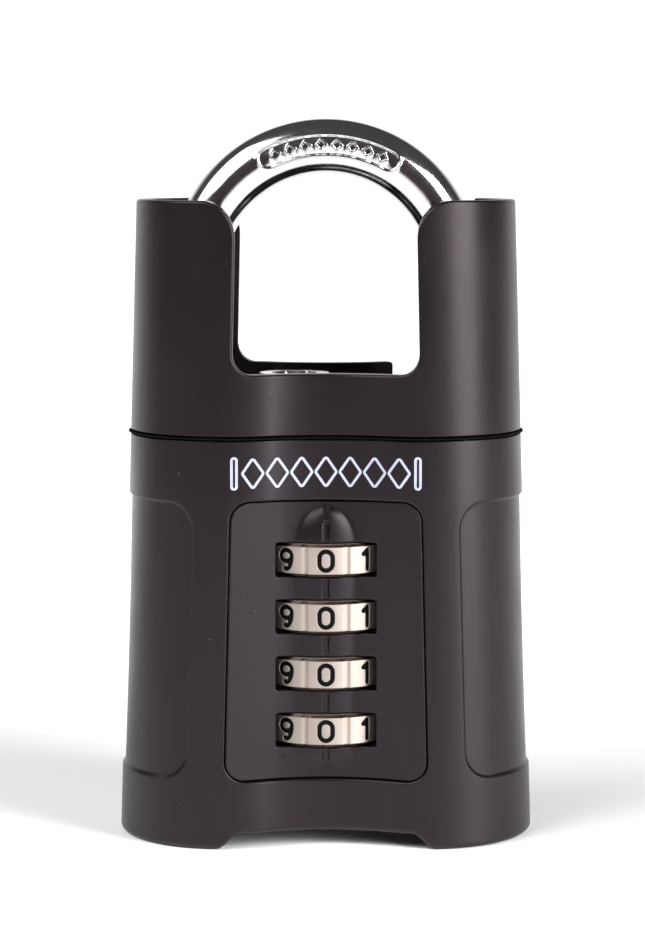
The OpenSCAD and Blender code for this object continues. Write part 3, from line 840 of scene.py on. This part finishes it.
def make_dial(name, height, nickel, ink, chamfer_shade, digit_shapes):
    b = Build()
    place = lambda u, v, depth: dial_point(u, v, depth) + [0, 0, height]
    skin = Surface(place, flute_relief)
    half = SECTOR * DIAL_R
    across = np.concatenate([
        np.linspace(-half, -half + FLUTE_W, 8), np.linspace(-half + 1.2, half - 1.2, 8),
        np.linspace(half - FLUTE_W, half, 8)])
    upright = np.linspace(-FACE_HALF, FACE_HALF, 9)
    bevel = 0.09
    for digit, loops in enumerate(digit_shapes):
        turn = np.array([digit * 2 * half, 0])
        frame_loop = np.vstack([
            np.stack([across, 0 * across - FACE_HALF], 1),
            np.stack([0 * upright[1:-1] + half, upright[1:-1]], 1),
            np.stack([across, 0 * across + FACE_HALF], 1)[::-1],
            np.stack([0 * upright[1:-1] - half, upright[1:-1]], 1)[::-1]])
        mouths = [loop - inward(loop) * bevel for loop in loops]
        rows = [(u, v) for u in across[1:-1] for v in upright[1:-1]]
        rows = away_from(np.array(rows), mouths, 0.12)
        rows = rows[~inside(rows, mouths)]
        b.sheet(skin, [frame_loop + turn] + [m + turn for m in mouths], rows + turn)
        for loop in loops:
            cut = (loop + turn)[::-1]
            b.rim(skin, cut, edge_profile(bevel, DIGIT_DEPTH, 3)[:-1])
            b.rim(skin, cut, [(0, bevel, 1, 1, 0), (0, DIGIT_DEPTH, 1, 1, 0)], slot=1)
        b.sheet(skin, [loop + turn for loop in loops], depth=DIGIT_DEPTH, slot=1)
    ring = np.concatenate([across[:-1] + k * 2 * half for k in range(10)])
    for side in (-1, 1):
        line = np.stack([ring, 0 * ring + side * FACE_HALF], 1)
        rim = skin.at(line)
        low = skin.at(line + [0, side * DIAL_CHAMFER], DIAL_CHAMFER)
        bore = skin.at(line + [0, side * DIAL_CHAMFER], DIAL_R - DIAL_BORE, 0)
        out = skin.axes(line)[2]
        up = np.tile([0, 0, float(side)], (len(ring), 1))
        slope = unit(out + up)
        # The chamfers get slot 2, the darker nickel copy, as painted shade on the top and bottom bevels.
        b.strip([rim, low], [slope, slope], slot=2)
        b.strip([low, bore], [up, up])
    bores = [skin.at(np.stack([ring, 0 * ring + side * DIAL_H / 2], 1), DIAL_R - DIAL_BORE, 0)
             for side in (-1, 1)]
    inner = -skin.axes(np.stack([ring, 0 * ring], 1))[2]
    b.strip(bores, [inner, inner])
    return b.piece(name + "_wheel", [nickel, ink, chamfer_shade], name, [name], "nickel")


# ---------------------------------------------------------------- printed band mark

def make_mark(material):
    """A row of plain lozenge outlines between two short bars, printed on the body's band."""
    skin = Surface(casing_point)
    b = Build()
    mid, tall, wide, pitch, count, stroke = 49.5, 2.0, 1.38, 3.15, 7, 0.17
    shapes = []
    for i in range(count):
        x = (i - (count - 1) / 2) * pitch
        shapes.append(rounded([(x - wide, mid), (x, mid - tall), (x + wide, mid), (x, mid + tall)],
                              [0.25] * 4, 5))
    for side in (-1, 1):
        x = side * (count / 2 * pitch + 0.85)
        shapes.append(box_loop(x - 0.32, x + 0.32, mid - tall, mid + tall, 0.3, 5))
    for shape in shapes:
        line = counterclockwise(front_line(resample(shape, 0.4)))
        film = 0.015
        rows = [(-stroke, film, 0, 1, 0), (-stroke, -film, 0, 0, 1), (stroke, -film, 0, 0, 1),
                (stroke, film, 0, -1, 0), (-stroke, film, 0, 0, -1)]
        b.rim(skin, line, rows)
    return b.piece("band_mark", [material], "body", slot="casing_paint")


# ---------------------------------------------------------------- materials

def new_material(name, base, metallic, roughness):
    material = bpy.data.materials.new(name)
    material.use_nodes = True
    tree = material.node_tree
    shader = tree.nodes["Principled BSDF"]
    shader.inputs["Base Color"].default_value = (*base, 1)
    shader.inputs["Metallic"].default_value = metallic
    shader.inputs["Roughness"].default_value = roughness
    return material, tree, shader


def noise(tree, scale, detail=4.0, stretch=(1, 1, 1)):
    """Noise fixed to the object, with scale in cells per metre."""
    where = tree.nodes.new("ShaderNodeTexCoord")
    bend = tree.nodes.new("ShaderNodeMapping")
    bend.inputs["Scale"].default_value = stretch
    field = tree.nodes.new("ShaderNodeTexNoise")
    field.inputs["Scale"].default_value = scale
    field.inputs["Detail"].default_value = detail
    tree.links.new(where.outputs["Object"], bend.inputs["Vector"])
    tree.links.new(bend.outputs["Vector"], field.inputs["Vector"])
    return field.outputs["Fac"]


def ramp(tree, value, stops):
    """Colour ramp with stops of (position, grey or colour)."""
    node = tree.nodes.new("ShaderNodeValToRGB")
    elements = node.color_ramp.elements
    for i, (position, colour) in enumerate(stops):
        element = elements[i] if i < 2 else elements.new(position)
        element.position = position
        rgb = colour if isinstance(colour, tuple) else (colour,) * 3
        element.color = (*rgb, 1)
    tree.links.new(value, node.inputs["Fac"])
    return node.outputs["Color"]


def bump(tree, shader, height, strength, distance, under=None):
    node = tree.nodes.new("ShaderNodeBump")
    node.inputs["Strength"].default_value = strength
    node.inputs["Distance"].default_value = distance
    tree.links.new(height, node.inputs["Height"])
    if under:
        tree.links.new(under, node.inputs["Normal"])
    tree.links.new(node.outputs["Normal"], shader.inputs["Normal"])
    return node.outputs["Normal"]


PAINT_BLACK = (0.0042, 0.0022, 0.0028)


def black_paint():
    """Satin black stove enamel: faint orange peel, uneven gloss and a few specks of dust."""
    material, tree, shader = new_material("black_satin_paint", PAINT_BLACK, 0.0, 0.32)
    shader.inputs["Specular IOR Level"].default_value = 0.4
    shader.inputs["Specular Tint"].default_value = (1.0, 0.88, 0.97, 1)
    peel = bump(tree, shader, noise(tree, 1500, 2), 0.10, 0.00004)
    bump(tree, shader, noise(tree, 260, 2), 0.10, 0.0001, peel)
    gloss = ramp(tree, noise(tree, 90, 5), [(0.3, 0.29), (0.7, 0.37)])
    tree.links.new(gloss, shader.inputs["Roughness"])
    dust = ramp(tree, noise(tree, 2300, 1), [(0.80, PAINT_BLACK), (0.82, (0.12, 0.12, 0.12))])
    tree.links.new(dust, shader.inputs["Base Color"])
    return material


def metal(name, colour, roughness, grain=700, spread=0.06, stretch=(1, 1, 1), relief=0.05):
    """Plated or bare metal with uneven gloss and a fine grain."""
    material, tree, shader = new_material(name, colour, 1.0, roughness)
    field = noise(tree, grain, 4, stretch)
    gloss = ramp(tree, field, [(0.25, roughness - spread), (0.75, roughness + spread)])
    tree.links.new(gloss, shader.inputs["Roughness"])
    tone = ramp(tree, noise(tree, 160, 5), [(0.3, tuple(0.9 * c for c in colour)), (0.7, colour)])
    tree.links.new(tone, shader.inputs["Base Color"])
    bump(tree, shader, field, relief, 0.00005)
    return material


def matt(name, colour, roughness, variation=0.3, specular=0.5):
    """Dull paint, ink or rubber with an uneven tone."""
    material, tree, shader = new_material(name, colour, 0.0, roughness)
    shader.inputs["Specular IOR Level"].default_value = specular
    tone = ramp(tree, noise(tree, 600, 4),
                [(0.3, tuple((1 - variation) * c for c in colour)), (0.7, colour)])
    tree.links.new(tone, shader.inputs["Base Color"])
    bump(tree, shader, noise(tree, 2200, 2), 0.1, 0.00003)
    return material


PAINT = black_paint()
CHROME = metal("polished_chrome", (0.77, 0.765, 0.78), 0.12, 420, 0.04, relief=0.015)
NICKEL = metal("satin_nickel", (0.50, 0.435, 0.395), 0.56, 700, 0.05, (1, 1, 0.2), 0.02)
# A darker copy of the nickel for the dial chamfers: painted shade standing in for the dark reflection on the
# bevels.
SHADED_NICKEL = metal("nickel_painted_shade", (0.16, 0.115, 0.09), 0.34, 900, 0.1, relief=0.1)
INK = matt("engraved_black", (0.003, 0.0025, 0.0025), 0.9, specular=0.15)
GASKET = matt("seam_black", (0.002, 0.002, 0.002), 0.8, specular=0.08)
PRINT = matt("printed_white", (0.44, 0.46, 0.56), 0.5, 0.12)
ZINC = metal("cast_zinc", (0.56, 0.55, 0.53), 0.48, 500, 0.1, relief=0.25)
HARD_STEEL = metal("ground_steel", (0.47, 0.47, 0.48), 0.3, 1200, 0.08, (1, 1, 8), 0.1)
SCREW_STEEL = metal("plated_steel", (0.52, 0.51, 0.50), 0.34, 800, 0.08, relief=0.1)
SPRING_STEEL = metal("spring_steel", (0.5, 0.47, 0.42), 0.28, 900, 0.07, relief=0.06)
BRASS = metal("turned_brass", (0.72, 0.52, 0.24), 0.26, 900, 0.07, (1, 1, 8), 0.1)
BUTTON_STEEL = metal("turned_steel", (0.6, 0.59, 0.58), 0.22, 900, 0.06, relief=0.06)

make_casing(PAINT)
make_face_plate(PAINT)
make_shroud(PAINT)
make_gasket(GASKET)
make_shackle(CHROME)
make_mark(PRINT)
digit_shapes = [digit_loops(d) for d in range(10)]
for dial, height in DIALS.items():
    make_dial(dial, height, NICKEL, INK, SHADED_NICKEL, digit_shapes)

KEPT = {
    "lock_core": ZINC, "drill_plate": HARD_STEEL, "heel_bush": HARD_STEEL, "toe_bush": HARD_STEEL,
    "reset_bush": CHROME, "tie_screws": SCREW_STEEL, "detent_comb": SPRING_STEEL,
    "detent_screws": SCREW_STEEL, "yoke": HARD_STEEL, "spindle": HARD_STEEL,
    "spindle_clip": SPRING_STEEL, "sleeve_1": BRASS, "sleeve_2": BRASS, "sleeve_3": BRASS,
    "sleeve_4": BRASS, "reset_plunger": BUTTON_STEEL, "reset_spring": SPRING_STEEL,
}
for node, material in KEPT.items():
    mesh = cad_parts[node].data
    mesh.materials.clear()
    mesh.materials.append(material)


# ---------------------------------------------------------------- stage, light and camera

def make_stage():
    """A pale table, glowing softly far behind the lock, its colour darkening towards the front as painted shade.
    """
    size = 3.2
    mesh = bpy.data.meshes.new("floor")
    mesh.from_pydata([(-size, -size, 0), (size, -size, 0), (size, size, 0), (-size, size, 0)], [], [(0, 1, 2, 3)])
    floor = bpy.data.objects.new("floor", mesh)
    bpy.context.scene.collection.objects.link(floor)
    material, tree, shader = new_material("pale_table", (0.88, 0.88, 0.88), 0.0, 0.55)
    shader.inputs["Specular IOR Level"].default_value = 0.2
    where = tree.nodes.new("ShaderNodeTexCoord")
    split = tree.nodes.new("ShaderNodeSeparateXYZ")
    tree.links.new(where.outputs["Object"], split.inputs["Vector"])
    # Painted shade: the table's colour falls from 0.88 to 0.18 towards the front.
    painted_front_shade = tree.nodes.new("ShaderNodeMapRange")
    painted_front_shade.inputs["From Min"].default_value = -0.75
    painted_front_shade.inputs["From Max"].default_value = -0.3
    painted_front_shade.inputs["To Min"].default_value = 0.18
    painted_front_shade.inputs["To Max"].default_value = 0.88
    tree.links.new(split.outputs["Y"], painted_front_shade.inputs["Value"])
    tree.links.new(painted_front_shade.outputs["Result"], shader.inputs["Base Color"])
    glow = tree.nodes.new("ShaderNodeMapRange")
    glow.inputs["From Min"].default_value = 0.06
    glow.inputs["From Max"].default_value = 0.35
    tree.links.new(split.outputs["Y"], glow.inputs["Value"])
    tree.links.new(glow.outputs["Result"], shader.inputs["Emission Strength"])
    shader.inputs["Emission Color"].default_value = (1, 1, 1, 1)
    mesh.materials.append(material)


def soft_light(name, azimuth, elevation, distance, width, height, power):
    """A softbox with a brighter middle; azimuth is measured from the camera's side towards +X."""
    a, e = math.radians(azimuth), math.radians(elevation)
    offset = Vector((math.sin(a) * math.cos(e), -math.cos(a) * math.cos(e), math.sin(e))) * distance
    panels = (1.0, 0.8, 0.6)
    for i, share in enumerate(panels):
        data = bpy.data.lights.new(f"{name}_{i}", "AREA")
        data.shape = "RECTANGLE"
        data.size, data.size_y = width * share, height * share
        data.energy = power * share ** 2 / sum(k ** 2 for k in panels)
        light = bpy.data.objects.new(data.name, data)
        light.location = Vector((0, 0, 0.045)) + offset
        light.rotation_euler = (-offset).to_track_quat("-Z", "Y").to_euler()
        bpy.context.scene.collection.objects.link(light)


def make_world():
    """White beyond the table, dark above and on the camera's side."""
    world = bpy.data.worlds.new("studio")
    bpy.context.scene.world = world
    world.use_nodes = True
    tree = world.node_tree
    where = tree.nodes.new("ShaderNodeTexCoord")
    split = tree.nodes.new("ShaderNodeSeparateXYZ")
    tree.links.new(where.outputs["Generated"], split.inputs["Vector"])
    height = ramp(tree, split.outputs["Z"], [(0.0, 1.0), (0.3, 1.0), (0.55, 0.0)])
    behind = ramp(tree, split.outputs["Y"], [(0.4, 0.0), (0.72, 1.0)])
    both = tree.nodes.new("ShaderNodeMix")
    both.data_type = "RGBA"
    both.blend_type = "MULTIPLY"
    both.inputs["Factor"].default_value = 1
    tree.links.new(height, both.inputs["A"])
    tree.links.new(behind, both.inputs["B"])
    tone = ramp(tree, both.outputs["Result"], [(0.0, 0.0), (1.0, 1.0)])
    shade = ramp(tree, split.outputs["Z"], [(0.0, (0.058, 0.038, 0.036)), (0.35, (0.055, 0.043, 0.045)),
                                            (0.8, (0.062, 0.06, 0.065))])
    room = tree.nodes.new("ShaderNodeMix")
    room.data_type = "RGBA"
    tree.links.new(tone, room.inputs["Factor"])
    tree.links.new(shade, room.inputs["A"])
    room.inputs["B"].default_value = (1, 1, 1, 1)
    ground = tree.nodes["Background"]
    ground.inputs["Strength"].default_value = 1.08
    tree.links.new(room.outputs["Result"], ground.inputs["Color"])


def make_camera():
    data = bpy.data.cameras.new("camera")
    data.sensor_width = 36
    data.sensor_fit = "AUTO"
    data.lens = 106.9
    camera = bpy.data.objects.new("camera", data)
    camera.location = (-0.00045, -0.3738, 0.0906)
    camera.rotation_euler = (math.radians(90 - 6.49), 0, 0)
    bpy.context.scene.collection.objects.link(camera)
    bpy.context.scene.camera = camera


make_stage()
make_world()
make_camera()
soft_light("right_box", 54, 20, 0.75, 0.36, 0.60, 11.5)
soft_light("left_box", -58, 46, 0.85, 0.75, 0.60, 10)
bpy.context.scene.view_settings.view_transform = "Standard"
